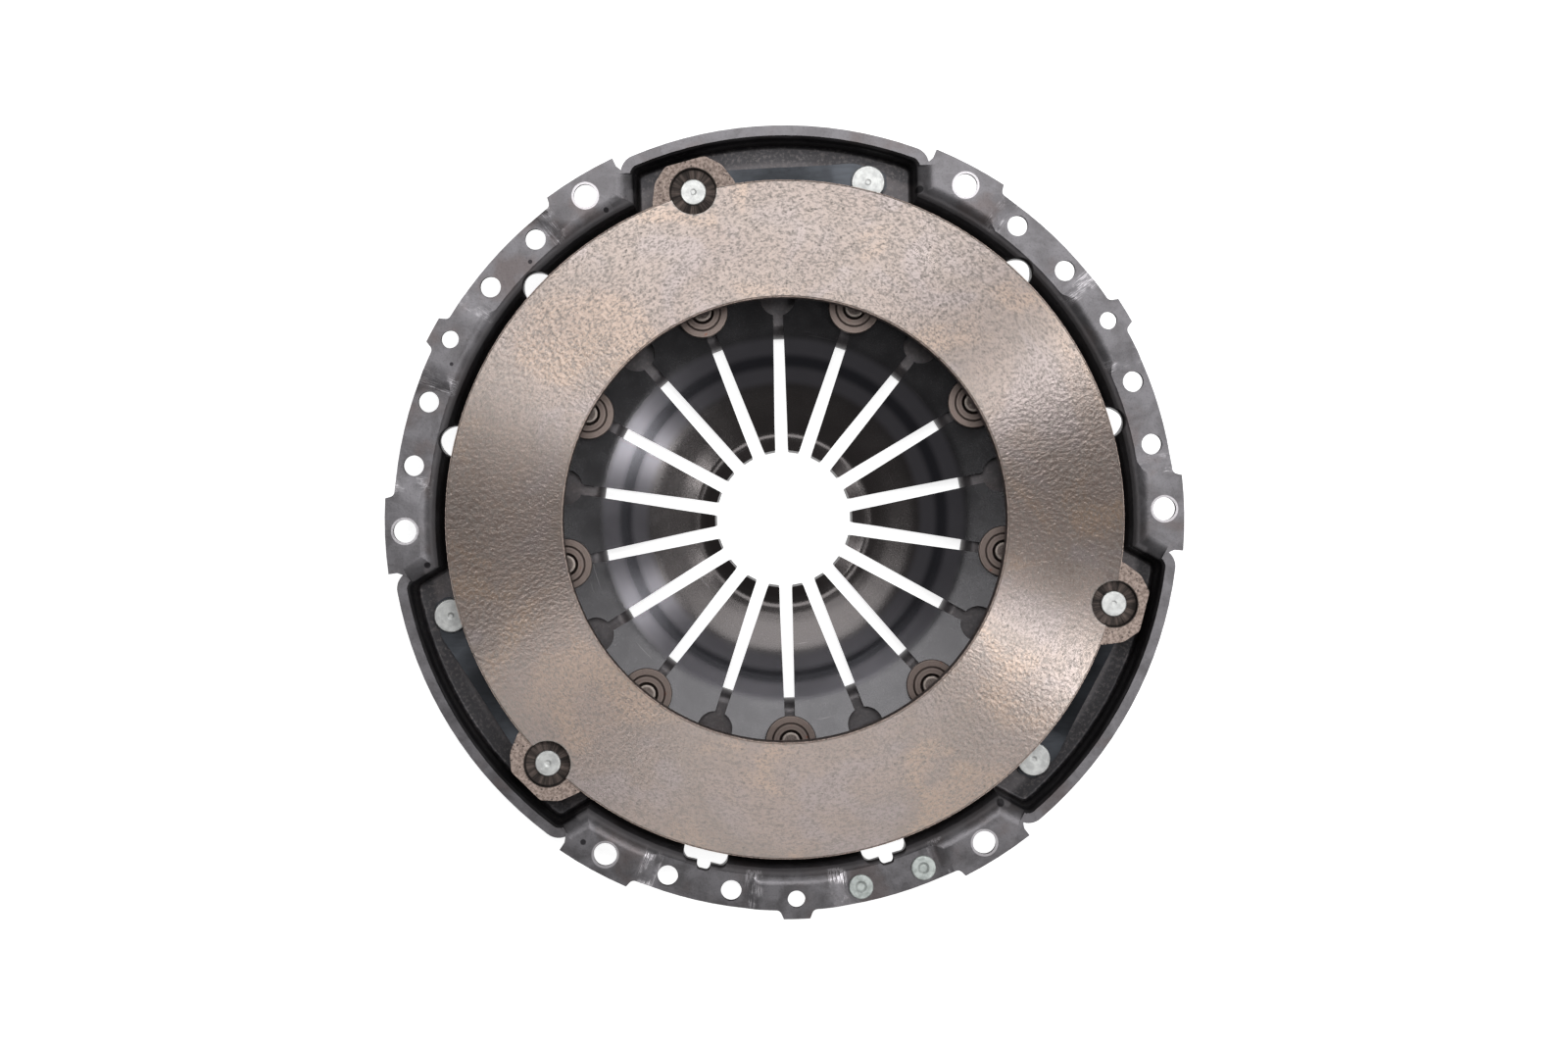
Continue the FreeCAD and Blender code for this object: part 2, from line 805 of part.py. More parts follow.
def rivet_disc():
    """Stepped disc under the formed end, which holds the front pivot ring."""
    hole_r = neck_radius + seat_gap
    brim_z = disc_z + disc_brim
    corners = [
        (hole_r, disc_z, 0),
        (disc_radius, disc_z, 0),
        (disc_radius, brim_z, edge_round),
        (disc_step_radius + disc_rise, brim_z, 0),
        (disc_step_radius, disc_top_z, 0),
        (disc_mouth_radius, disc_top_z, 0),
        (hole_r, disc_top_z - disc_mouth_depth, 0),
    ]
    return turned_solid(corners)


def around_keyholes(piece):
    return group([spun(moved(piece, keyhole_r, 0, 0), angle) for angle in rivet_angles()])


# The drive straps and their rivets

def strap_length():
    lug_end, cover_end = strap_points()
    return (cover_end - lug_end).Length


def strap_plan():
    """Outline of a leaf with tapered ends, from the lug rivet at X = 0 to the cover rivet."""
    start = -strap_overhang
    end = strap_length() + strap_overhang
    half = [
        (start, strap_end_half_width, strap_end_round),
        (start + strap_taper, strap_half_width, strap_shoulder_radius),
        (end - strap_taper, strap_half_width, strap_shoulder_radius),
        (end, strap_end_half_width, strap_end_round),
    ]
    other = [(x, -y, radius) for x, y, radius in reversed(half)]
    return upright(half + other, shoulder_z - sheet, sheet)


def leaf_curve(top_z):
    """Edges of one side of a bent leaf: flat where it is clamped, S-shaped between."""
    length = strap_length()
    start = strap_clamped
    end = length - strap_clamped
    low_z = top_z - strap_rise
    points = []
    for i in range(strap_curve_steps + 1):
        t = i / strap_curve_steps
        fall = 3 * t * t - 2 * t * t * t
        points.append(section_point(start + (end - start) * t, top_z - strap_rise * fall))
    level = Vector(1, 0, 0)
    bent = Part.BSplineCurve()
    bent.interpolate(Points=points, InitialTangent=level, FinalTangent=level)
    first = Part.makeLine(section_point(-strap_overhang, top_z), section_point(start, top_z))
    last = Part.makeLine(section_point(end, low_z), section_point(length + strap_overhang, low_z))
    return [first, bent.toShape(), last]


def strap_leaf(index):
    """One leaf of a strap pack, lying from the lug to the cover of the first pocket."""
    top_z = rim_under_z - index * leaf_thickness
    length = strap_length()
    upper = leaf_curve(top_z)
    lower = leaf_curve(top_z - leaf_thickness)
    ends = []
    for x, z in ((-strap_overhang, top_z), (length + strap_overhang, top_z - strap_rise)):
        ends.append(Part.makeLine(section_point(x, z), section_point(x, z - leaf_thickness)))
    wire = Part.Wire(Part.__sortEdges__(upper + lower + ends))
    half = 2 * strap_half_width
    ribbon = moved(Part.Face(wire), 0, -half, 0).extrude(Vector(0, 2 * half, 0))
    holes = [
        drum(lug_shank_radius + pin_gap / 2, back_z, 0),
        drum(cover_shank_radius + pin_gap / 2, back_z, 0, length),
    ]
    leaf = one_solid(ribbon.common(strap_plan()).cut(holes))
    lug_end, cover_end = strap_points()
    along = cover_end - lug_end
    heading = math.degrees(math.atan2(along.y, along.x))
    return moved(spun(leaf, heading), lug_end.x, lug_end.y, 0)


def lug_rivet():
    """Strap rivet of the pressure plate, whose formed end shows in the counterbore of the lug."""
    head_top = rim_under_z - strap_thickness
    top_z = counterbore_z + lug_end_height
    corners = [
        (0, head_top - lug_head_height, 0),
        (lug_head_radius, head_top - lug_head_height, head_round),
        (lug_head_radius, head_top, 0),
        (lug_shank_radius, head_top, 0),
        (lug_shank_radius, counterbore_z, 0),
        (lug_end_radius, counterbore_z, 0),
        (lug_end_radius, top_z, edge_round),
        (0, top_z, 0),
    ]
    return turned_solid(corners)


def strap_cover_rivet():
    """Rivet that clamps a strap pack on the floor of its pocket."""
    seat_z = shoulder_z + strap_thickness
    under_z = shoulder_z - sheet
    corners = [
        (0, under_z - cover_tail_height, 0),
        (cover_tail_radius, under_z - cover_tail_height, head_round),
        (cover_tail_radius, under_z, 0),
        (cover_shank_radius, under_z, 0),
        (cover_shank_radius, seat_z, 0),
        (cover_head_radius, seat_z, 0),
        (cover_head_radius, seat_z + cover_head_height, edge_round),
        (0, seat_z + cover_head_height, 0),
    ]
    return turned_solid(corners)


def balance_rivet():
    """Hollow-nosed rivet that fills a spare hole of the flange to balance the cover."""
    seat_z = -recess_depth
    top_z = seat_z + balance_head_height
    under_z = seat_z - sheet
    shank_r = balance_hole_radius - pin_gap / 2
    corners = [
        (0, under_z - balance_tail_height, 0),
        (balance_tail_radius, under_z - balance_tail_height, head_round),
        (balance_tail_radius, under_z, 0),
        (shank_r, under_z, 0),
        (shank_r, seat_z, 0),
        (balance_head_radius, seat_z, 0),
        (balance_head_radius, top_z, edge_round),
        (balance_dimple_radius, top_z, 0),
        (balance_dimple_floor_radius, top_z - balance_dimple_depth, 0),
        (0, top_z - balance_dimple_depth, 0),
    ]
    return turned_solid(corners)


def balance_rivets():
    angle = flange_angles()[slot_window_sector]
    piece = moved(balance_rivet(), balance_circle_r, 0, 0)
    return group([spun(piece, angle + i * balance_hole_angle) for i in (1, 2)])


def in_each_pocket(piece, place):
    return group([spun(moved(piece, place.x, place.y, 0), turn) for turn in pocket_turns()])


def save_straps():
    for index in range(leaves_per_strap):
        leaf = strap_leaf(index)
        for pocket, turn in enumerate(pocket_turns()):
            save(spun(leaf, turn), "strap_%d_leaf_%d" % (pocket + 1, index + 1))


def save_fingers():
    piece = finger()
    for i in range(finger_count):
        save(spun(piece, i * finger_step), "diaphragm_finger_%02d" % (i + 1))


def main():
    os.makedirs("parts", exist_ok=True)
    lug_end, cover_end = strap_points()
    save(cover(), "cover")
    save(pressure_plate(), "pressure_plate")
    save_fingers()
    save(pivot_ring(front_ring_z), "front_pivot_ring")
    save(pivot_ring(rear_ring_z), "rear_pivot_ring")
    save(around_keyholes(spacer_rivet()), "spacer_rivets")
    save(around_keyholes(rivet_disc()), "rivet_discs")
    save_straps()
    save(in_each_pocket(lug_rivet(), lug_end), "lug_rivets")
    save(in_each_pocket(strap_cover_rivet(), cover_end), "strap_cover_rivets")
    save(balance_rivets(), "balance_rivets")


main()
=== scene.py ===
import json
import math

import bpy
from mathutils import Euler, Matrix, Vector


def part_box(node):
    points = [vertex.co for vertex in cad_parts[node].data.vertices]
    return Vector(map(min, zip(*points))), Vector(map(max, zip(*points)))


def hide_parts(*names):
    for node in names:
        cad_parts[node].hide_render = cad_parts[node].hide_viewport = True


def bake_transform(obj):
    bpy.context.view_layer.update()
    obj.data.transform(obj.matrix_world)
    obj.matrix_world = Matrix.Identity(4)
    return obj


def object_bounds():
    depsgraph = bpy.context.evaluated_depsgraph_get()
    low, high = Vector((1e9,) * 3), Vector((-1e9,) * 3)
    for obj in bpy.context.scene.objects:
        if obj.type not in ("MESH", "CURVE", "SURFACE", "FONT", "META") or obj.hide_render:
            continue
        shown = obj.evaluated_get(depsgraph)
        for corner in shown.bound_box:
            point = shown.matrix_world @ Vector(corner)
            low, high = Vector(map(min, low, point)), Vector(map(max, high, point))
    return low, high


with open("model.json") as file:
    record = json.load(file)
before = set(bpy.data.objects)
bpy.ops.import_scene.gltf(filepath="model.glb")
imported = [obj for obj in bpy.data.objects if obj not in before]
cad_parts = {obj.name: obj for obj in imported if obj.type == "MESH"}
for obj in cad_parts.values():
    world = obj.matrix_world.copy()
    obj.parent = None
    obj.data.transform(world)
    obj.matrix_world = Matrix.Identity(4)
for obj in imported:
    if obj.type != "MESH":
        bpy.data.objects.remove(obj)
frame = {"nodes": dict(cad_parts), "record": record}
cad_low, cad_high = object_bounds()

# Lengths are metres, in the frame of the part: Z is the clutch axis and points to the flywheel.
mm = 0.001

# Friction face, and the lugs with their counterbores
friction_face_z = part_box("pressure_plate")[1].z
friction_outer_r = 120.0 * mm
lug_top_z = friction_face_z - 1.2 * mm
counterbore_radius = 8.2 * mm

# Straps, from the rivet on the lug to the rivet on the cover
strap_count = 3
leaves_per_strap = 3
lug_rivet_r = 120.3 * mm
first_lug_angle = 104.0
strap_rivet_r = 124.4 * mm
first_strap_angle = 74.4

# Rivet discs of the diaphragm spring, and the bend of its fingers
disc_circle_r = 80.0 * mm
disc_count = 9
first_disc_angle = 30.0
finger_bend_r = 57.3 * mm

# Bolt holes of the cover
bolt_circle_r = 134.3 * mm
bolt_count = 6
bolt_hole_r = 4.1 * mm

# Middle of the first flange sector and half the angle that its pattern repeats over, in degrees
sector_middle = 30.0
sector_half_pitch = 60.0

# Slopes that the shading adds to the fingers: start and end radius and rise, all in mm
finger_slopes = (
    (30.5, 34.5, 0.25),
    (38.0, 46.5, -0.45),
    (48.5, 57.4, 0.75),
    (56.8, 66.5, 1.35),
)

# Dark spots on the cover: place and radius, all in mm
cover_spots = (
    (-60.0, 111.2, 1.1),
    (-87.3, 93.7, 0.9),
    (51.0, 115.6, 1.5),
    (-126.8, -12.2, 1.3),
    (73.4, -102.5, 1.6),
    (-74.8, -111.6, 1.2),
    (-116.0, 58.4, 0.8),
)

# Facets that meet at more than this angle, in degrees, keep a crisp edge
crisp_edge_angle = 28
weld_distance = 0.002 * mm

# Studio floor, just below the part, and how far the lamps stand from the part
floor_size = 8.0
floor_gap = 0.2 * mm
floor_grey = 0.8
floor_glow = 0.8
lamp_distance = 1.6

# Room light: its strength at the horizon and overhead, and between which heights of a ray's
# direction, from 0 level to 1 straight up, the white backdrop fades into it
room_at_horizon = 0.55
room_overhead = 0.12
white_below = 0.02
room_above = 0.22

# The photograph's view: its size, its scale at the friction face, and where the clutch axis lies
photo_width_px = 1600
photo_height_px = 1067
face_mm_per_px = 0.3458
axis_px = (801.5, 530.5)
pattern_turn = 1.7
camera_lens = 71.6
sensor_width = 36.0
camera_offset = Vector((-19.1, 15.3, 0.0)) * mm


class Nodes:
    """A material's node tree, with one short method for each kind of step."""

    def __init__(self, name):
        self.material = bpy.data.materials.new(name)
        self.material.use_nodes = True
        self.tree = self.material.node_tree
        self.shader = self.tree.nodes["Principled BSDF"]
        coordinates = self.tree.nodes.new("ShaderNodeTexCoord")
        self.position = coordinates.outputs["Object"]
        self.x, self.y, self.z = self.split(self.position)

    def new(self, kind, **settings):
        node = self.tree.nodes.new(kind)
        for key, value in settings.items():
            setattr(node, key, value)
        return node

    def feed(self, socket, value):
        """Links a socket to the input, or sets the input to a plain value."""
        if isinstance(value, bpy.types.NodeSocket):
            self.tree.links.new(value, socket)
        else:
            socket.default_value = value

    def math(self, operation, a, b=0.0, c=0.0):
        node = self.new("ShaderNodeMath", operation=operation)
        for socket, value in zip(node.inputs, (a, b, c)):
            self.feed(socket, value)
        return node.outputs[0]

    def plus(self, a, b):
        return self.math("ADD", a, b)

    def minus(self, a, b):
        return self.math("SUBTRACT", a, b)

    def times(self, a, b):
        return self.math("MULTIPLY", a, b)

    def split(self, vector):
        node = self.new("ShaderNodeSeparateXYZ")
        self.feed(node.inputs[0], vector)
        return node.outputs

    def join(self, x, y, z):
        node = self.new("ShaderNodeCombineXYZ")
        for socket, value in zip(node.inputs, (x, y, z)):
            self.feed(socket, value)
        return node.outputs[0]

    def length(self, x, y):
        return self.math("SQRT", self.math("MULTIPLY_ADD", x, x, self.times(y, y)))

    def polar(self):
        """Radius and angle of the position about the clutch axis."""
        return self.length(self.x, self.y), self.math("ARCTAN2", self.y, self.x)

    def around(self, count, first_angle, circle_r):
        """Radius and angle about the nearest of count like places on a circle."""
        radius, angle = self.polar()
        pitch = 2 * math.pi / count
        turned = self.minus(angle, math.radians(first_angle))
        folded = self.math("WRAP", turned, pitch / 2, -pitch / 2)
        along = self.minus(self.times(radius, self.math("COSINE", folded)), circle_r)
        across = self.times(radius, self.math("SINE", folded))
        return self.length(along, across), self.math("ARCTAN2", across, along)

    def step(self, value, start, end):
        """0 on the start side and 1 on the end side, with a soft change between them."""
        node = self.new("ShaderNodeMapRange", interpolation_type="SMOOTHSTEP")
        for socket, setting in zip(node.inputs, (value, start, end, 0.0, 1.0)):
            self.feed(socket, setting)
        return node.outputs[0]

    def band(self, value, low, high, soft):
        """1 between low and high, falling to 0 over a soft edge on both sides."""
        return self.minus(self.step(value, low - soft, low), self.step(value, high, high + soft))

    def ramp(self, value, start, end, rise, easing=0.3):
        """A straight slope from 0 at start to rise at end, eased at both and level beyond."""
        share = self.math("DIVIDE", self.minus(value, start), end - start)
        below_one = self.math("SMOOTH_MIN", share, 1.0, easing)
        return self.times(self.math("SMOOTH_MAX", below_one, 0.0, easing), rise)

    def noise(self, vector, size, detail=3.0, roughness=0.5, distortion=0.0):
        """Noise whose features are about size metres across, from 0 to 1."""
        node = self.new("ShaderNodeTexNoise")
        self.feed(node.inputs["Vector"], vector)
        node.inputs["Scale"].default_value = 1.0 / size
        node.inputs["Detail"].default_value = detail
        node.inputs["Roughness"].default_value = roughness
        node.inputs["Distortion"].default_value = distortion
        return node.outputs["Fac"]

    def cells(self, vector, size):
        """Distance to the nearest of points strewn about size metres apart, in shares of size."""
        node = self.new("ShaderNodeTexVoronoi")
        self.feed(node.inputs["Vector"], vector)
        node.inputs["Scale"].default_value = 1.0 / size
        return node.outputs["Distance"]

    def shifted(self, offset):
        """The position moved aside, for a noise of its own."""
        node = self.new("ShaderNodeVectorMath", operation="ADD")
        self.feed(node.inputs[0], self.position)
        node.inputs[1].default_value = (offset, -offset, offset)
        return node.outputs[0]

    def turned(self, per_radian, per_metre=1.0):
        """Coordinates along the radius and the turn, so that noise there gives turning marks."""
        radius, angle = self.polar()
        return self.join(self.times(radius, per_metre), self.times(angle, per_radian), self.z)

    def mix(self, share, first, second):
        """Colour between two colours."""
        node = self.new("ShaderNodeMix", data_type="RGBA")
        self.feed(node.inputs["Factor"], share)
        self.feed(node.inputs[6], first)
        self.feed(node.inputs[7], second)
        return node.outputs[2]

    def graded(self, value, start, end, first, second):
        """Colour that goes from first to second as value goes from start to end."""
        return self.mix(self.step(value, start, end), first, second)

    def over(self, base, mask, share, layer):
        """The base with a layer of another colour where mask is 1, covering it by share."""
        return self.mix(self.times(mask, share), base, layer)

    def blend(self, share, first, second):
        """Value between two values."""
        node = self.new("ShaderNodeMix", data_type="FLOAT")
        self.feed(node.inputs["Factor"], share)
        self.feed(node.inputs[2], first)
        self.feed(node.inputs[3], second)
        return node.outputs[0]

    def bump(self, height, depth):
        """Normal of a surface raised by height times depth metres."""
        node = self.new("ShaderNodeBump")
        node.inputs["Strength"].default_value = 1.0
        node.inputs["Distance"].default_value = depth
        self.feed(node.inputs["Height"], height)
        return node.outputs[0]

    def finish(self, base, roughness, metallic, normal, **settings):
        """Sets the shader and gives the material; an underscore in a name stands for a space."""
        self.feed(self.shader.inputs["Base Color"], base)
        self.feed(self.shader.inputs["Roughness"], roughness)
        self.feed(self.shader.inputs["Metallic"], metallic)
        self.feed(self.shader.inputs["Normal"], normal)
        for key, value in settings.items():
            self.feed(self.shader.inputs[key.replace("_", " ")], value)
        return self.material


def color(red, green, blue):
    """A colour from 0 to 255 values, as the screen shows them, in linear light."""
    def linear(value):
        share = value / 255.0
        return share / 12.92 if share <= 0.04045 else ((share + 0.055) / 1.055) ** 2.4
    return linear(red), linear(green), linear(blue), 1.0


def friction_face(kit, radius, tint, dashes, pits):
    """Colour of the turned face: heat tints, streaks, dark dashes, pits and a worn outer edge."""
    brown, light_brown = color(80, 58, 48), color(98, 76, 68)
    gold, violet = color(134, 100, 68), color(96, 84, 92)
    streak_brown, dash_brown, pit_black = color(80, 54, 45), color(38, 28, 24), color(28, 22, 19)
    edge_black = color(38, 30, 28)

    bloom = kit.noise(kit.shifted(0.4), 30 * mm, 3.0, 0.5, 0.8)
    streaks = kit.noise(kit.turned(6 * mm), 0.6 * mm, 2.0, 0.5)
    uneven = kit.times(kit.noise(kit.shifted(0.7), 1.6 * mm, 2.0, 0.6), 2.4 * mm)
    edge_r = friction_outer_r + 0.55 * mm
    worn_edge = kit.step(kit.plus(radius, uneven), edge_r, edge_r + 0.35 * mm)

    face = kit.graded(tint, 0.36, 0.64, brown, light_brown)
    face = kit.over(face, kit.step(bloom, 0.50, 0.66), 0.6, gold)
    face = kit.over(face, kit.step(bloom, 0.47, 0.34), 0.6, violet)
    face = kit.over(face, kit.step(streaks, 0.5, 0.75), 0.35, streak_brown)
    face = kit.over(face, dashes, 0.75, dash_brown)
    face = kit.over(face, pits, 0.75, pit_black)
    return kit.over(face, worn_edge, 0.9, edge_black)


def counterbore_floor(kit, bore_r, bore_angle):
    """Colour of a counterbore's floor, with rays that spread from its middle."""
    black, worn = color(28, 24, 24), color(122, 108, 102)
    places = kit.join(kit.times(bore_angle, 14 * mm), kit.times(bore_r, 0.12), 0.0)
    return kit.graded(kit.noise(places, 3.4 * mm, 3.0, 0.7), 0.35, 0.75, black, worn)


def friction_iron():
    """Turned friction face with heat tints and pits, rough lugs, and cast sides."""
    lug_brown, lug_pale, lug_pit = color(144, 128, 120), color(198, 180, 170), color(52, 44, 44)
    cast_dark, cast_pale, edge_black = color(64, 58, 58), color(104, 94, 92), color(22, 19, 19)
    warm_mirror = (1.0, 0.91, 0.845, 1.0)

    kit = Nodes("friction_iron")
    radius = kit.polar()[0]
    on_face = kit.step(kit.z, friction_face_z - 0.5 * mm, friction_face_z - 0.1 * mm)
    on_lug = kit.step(kit.z, lug_top_z - 0.4 * mm, lug_top_z - 0.1 * mm)
    below_lug = kit.step(kit.z, lug_top_z - 0.3 * mm, lug_top_z - 0.6 * mm)
    bore_r, bore_angle = kit.around(strap_count, first_lug_angle, lug_rivet_r)
    bore_disc = kit.step(bore_r, counterbore_radius + 0.1 * mm, counterbore_radius - 0.1 * mm)
    # Painted shade: a dark ring round each counterbore, where its wall meets its floor.
    bore_corner_shade = kit.band(
        bore_r, counterbore_radius - 0.3 * mm, counterbore_radius + 0.2 * mm, 0.25 * mm)

    tint = kit.noise(kit.turned(60 * mm), 26 * mm, 3.0, 0.55, 0.6)
    dashes = kit.step(kit.noise(kit.turned(55 * mm), 0.75 * mm, 3.0, 0.75), 0.46, 0.60)
    pits = kit.step(kit.cells(kit.turned(60 * mm), 1.5 * mm), 0.23, 0.10)
    rough = kit.noise(kit.position, 1.1 * mm, 4.0, 0.7)
    lug_pits = kit.step(kit.cells(kit.position, 1.8 * mm), 0.24, 0.14)

    lug = kit.graded(rough, 0.38, 0.62, lug_brown, lug_pale)
    lug = kit.over(lug, lug_pits, 0.75, lug_pit)
    base = kit.mix(on_lug, kit.graded(rough, 0.3, 0.7, cast_dark, cast_pale), lug)
    base = kit.mix(kit.times(bore_disc, below_lug), base,
                   counterbore_floor(kit, bore_r, bore_angle))
    base = kit.mix(on_face, base, friction_face(kit, radius, tint, dashes, pits))
    # Painted shade ring round the counterbores.
    base = kit.over(base, bore_corner_shade, 0.9, edge_black)

    grain = kit.noise(kit.turned(110 * mm), 1.4 * mm, 2.0, 0.5)
    grooves = kit.noise(kit.turned(3 * mm), 0.45 * mm, 1.0)
    relief = kit.plus(kit.times(grain, 1.7), kit.times(grooves, 0.3))
    relief = kit.minus(relief, kit.times(dashes, 0.12))
    relief = kit.blend(on_face, kit.times(rough, 4.0), relief)

    roughness = kit.blend(tint, 0.25, 0.33)
    roughness = kit.plus(roughness, kit.plus(kit.times(dashes, 0.10), kit.times(pits, 0.14)))
    roughness = kit.blend(on_face, 0.6, roughness)
    metallic = kit.blend(on_face, 0.92, 0.45)
    outward = kit.join(
        kit.math("DIVIDE", kit.x, radius), kit.math("DIVIDE", kit.y, radius), 0.0)
    return kit.finish(base, roughness, metallic, kit.bump(relief, 0.025 * mm), IOR=4.4,
                      Specular_Tint=warm_mirror, Anisotropic=0.97, Tangent=outward)


def rub_marks(kit, angle):
    """Bright rubbed places on the ramps between the pads and the recessed zones of the flange."""
    def ramp_at(low, high):
        return kit.band(side, math.radians(low), math.radians(high), math.radians(0.7))

    turned = kit.minus(angle, math.radians(sector_middle))
    half_pitch = math.radians(sector_half_pitch)
    side = kit.math("ABSOLUTE", kit.math("WRAP", turned, half_pitch, -half_pitch))
    ramps = kit.math("MAXIMUM", ramp_at(5.6, 7.6), ramp_at(22.0, 24.2))
    near_top = kit.step(kit.z, -4.5 * mm, -1.6 * mm)
    scratches = kit.noise(kit.turned(1500 * mm, 0.35), 2.2 * mm, 4.0, 0.75)
    patches = kit.noise(kit.shifted(0.9), 7 * mm, 3.0, 0.6)
    worn = kit.times(kit.step(scratches, 0.45, 0.65), kit.step(patches, 0.46, 0.64))
    more_below = kit.blend(kit.step(kit.y, -20 * mm, -70 * mm), 0.45, 1.0)
    return kit.times(kit.times(ramps, near_top), kit.times(worn, more_below))


def inner_side(kit, radius):
    """1 on the cover's faces that look inward or to the flywheel, 0 on its outer walls."""
    facing = kit.split(kit.new("ShaderNodeNewGeometry").outputs["Normal"])
    outward = kit.math(
        "DIVIDE", kit.plus(kit.times(facing[0], kit.x), kit.times(facing[1], kit.y)), radius)
    return kit.step(kit.minus(facing[2], outward), -0.2, 0.4)


def pressed_steel():
    """Dark phosphated steel: mottled, spotted, rubbed bright on ramps, lighter at hole edges."""
    grey, pale_grey, brown, fleck = (
        color(86, 84, 86), color(109, 107, 110), color(89, 79, 77), color(62, 59, 61))
    deep_wall_shade, wall_top_light, wall_foot_shade, floor_fleck = (
        color(52, 47, 48), color(104, 101, 103), color(38, 37, 40), color(104, 98, 97))
    rubbed_bright, spot_black = color(232, 228, 232), color(22, 20, 24)

    kit = Nodes("pressed_steel")
    radius, angle = kit.polar()
    mottle = kit.noise(kit.position, 9 * mm, 4.0, 0.6, 0.4)
    fine = kit.noise(kit.position, 0.7 * mm, 3.0, 0.65)
    stains = kit.noise(kit.shifted(0.2), 16 * mm, 3.0, 0.55)
    floor_grain = kit.noise(kit.position, 1.3 * mm, 4.0, 0.7)
    inside = inner_side(kit, radius)
    deep = kit.times(kit.step(kit.z, -6.0 * mm, -13.0 * mm), inside)
    # Painted light: the upper inner walls are made lighter, as if their bend caught the lamps.
    upper_wall = kit.times(kit.band(kit.z, -6.0 * mm, -2.4 * mm, 1.2 * mm),
                           kit.step(radius, 129.4 * mm, 128.4 * mm))
    # Painted shade: a dark strip at the foot of the pocket walls.
    low_wall = kit.times(kit.step(kit.z, -4 * mm, -8 * mm),
                         kit.step(radius, 127.0 * mm, 129.2 * mm))
    hole_r = kit.around(bolt_count, 0.0, bolt_circle_r)[0]
    # A lighter ring round each bolt hole's edge.
    hole_rim = kit.band(hole_r, bolt_hole_r, bolt_hole_r + 0.6 * mm, 0.3 * mm)
    # The rubbed marks on the ramps, and the lighter rings round the bolt holes.
    rubbed = kit.math("MAXIMUM", rub_marks(kit, angle), kit.times(hole_rim, 0.35))

    base = kit.graded(mottle, 0.32, 0.68, grey, pale_grey)
    base = kit.over(base, kit.step(stains, 0.5, 0.68), 0.5, brown)
    base = kit.over(base, kit.step(fine, 0.5, 0.74), 0.4, fleck)
    # Painted shade: the deep walls that face inward are darkened.
    base = kit.over(base, deep, 0.6, deep_wall_shade)
    # Painted light on the upper inner walls.
    base = kit.over(base, upper_wall, 0.6, wall_top_light)
    # Painted shade at the foot of the pocket walls.
    base = kit.over(base, kit.times(low_wall, inside), 0.85, wall_foot_shade)
    base = kit.over(base, kit.step(floor_grain, 0.48, 0.66), kit.times(deep, 0.35), floor_fleck)
    base = kit.mix(rubbed, base, rubbed_bright)
    for x, y, size in cover_spots:
        away = kit.length(kit.minus(kit.x, x * mm), kit.minus(kit.y, y * mm))
        spot = kit.step(away, size * mm, size * mm * 0.7)
        base = kit.over(base, spot, 0.85, spot_black)

    relief = kit.plus(kit.times(fine, 0.5), kit.times(mottle, 2.0))
    wall_slope = kit.ramp(kit.z, -1.2 * mm, -11 * mm, 130.0)
    relief = kit.plus(relief, kit.times(wall_slope, inside))
    roughness = kit.blend(rubbed, kit.blend(mottle, 0.34, 0.50), 0.28)
    metallic = kit.math(
        "MINIMUM", kit.blend(upper_wall, 0.88, 0.3), kit.blend(deep, 0.88, 0.6))
    return kit.finish(base, roughness, metallic, kit.bump(relief, 0.05 * mm))


def spring_steel():
    """Blue-black tempered fingers, browner at the tips, with painted shade ringing the bend."""
    blue_black, dark_grey, brown = color(39, 38, 40), color(51, 50, 52), color(56, 50, 48)
    fleck, scratch_grey, slope_highlight_grey = color(76, 72, 74), color(108, 104, 106), color(76, 74, 79)
    bend_shade_black, tip_brown = color(24, 24, 30), color(40, 34, 34)

    kit = Nodes("spring_steel")
    radius = kit.polar()[0]
    mottle = kit.noise(kit.position, 11 * mm, 4.0, 0.6)
    fine = kit.noise(kit.position, 0.5 * mm, 3.0, 0.7)
    scratches = kit.noise(kit.turned(8 * mm, 6.0), 4.0 * mm, 2.0, 0.5)
    # Painted highlight: the steep part of the fingers is made lighter, so it reflects the lamps
    # more.
    slope = kit.band(radius, 51.0 * mm, 64.0 * mm, 3.0 * mm)
    # Painted shade: a dark ring where the fingers bend.
    ring = kit.band(radius, finger_bend_r - 0.7 * mm, finger_bend_r + 0.7 * mm, 3.0 * mm)

    base = kit.graded(mottle, 0.3, 0.7, blue_black, dark_grey)
    base = kit.over(base, kit.step(radius, 62 * mm, 42 * mm), 0.6, brown)
    base = kit.over(base, kit.step(fine, 0.52, 0.75), 0.35, fleck)
    base = kit.over(base, kit.step(scratches, 0.70, 0.76), 0.35, scratch_grey)
    # Painted highlight on the steep part of the fingers.
    base = kit.over(base, slope, 0.8, slope_highlight_grey)
    # Painted shade ring at the bend.
    base = kit.over(base, ring, 0.88, bend_shade_black)
    base = kit.over(base, kit.step(radius, 29.5 * mm, 27.8 * mm), 0.6, tip_brown)

    relief = kit.times(fine, 0.012)
    for start, end, rise in finger_slopes:
        relief = kit.plus(relief, kit.ramp(radius, start * mm, end * mm, rise))
    roughness = kit.blend(mottle, 0.18, 0.26)
    return kit.finish(base, roughness, 0.6, kit.bump(relief, 1.0 * mm), Specular_IOR_Level=0.55)


def strap_steel():
    """Blued spring strip with rolling lines."""
    blue_grey, pale_blue, line_grey = color(46, 48, 52), color(58, 61, 66), color(38, 40, 43)
    kit = Nodes("strap_steel")
    rolled = kit.noise(kit.join(kit.times(kit.x, 0.15), kit.y, kit.z), 1.2 * mm, 3.0, 0.6)
    mottle = kit.noise(kit.position, 12 * mm, 3.0, 0.5)
    base = kit.graded(mottle, 0.3, 0.7, blue_grey, pale_blue)
    base = kit.over(base, kit.step(rolled, 0.45, 0.7), 0.4, line_grey)
    return kit.finish(base, 0.36, 0.75, kit.bump(rolled, 0.02 * mm))


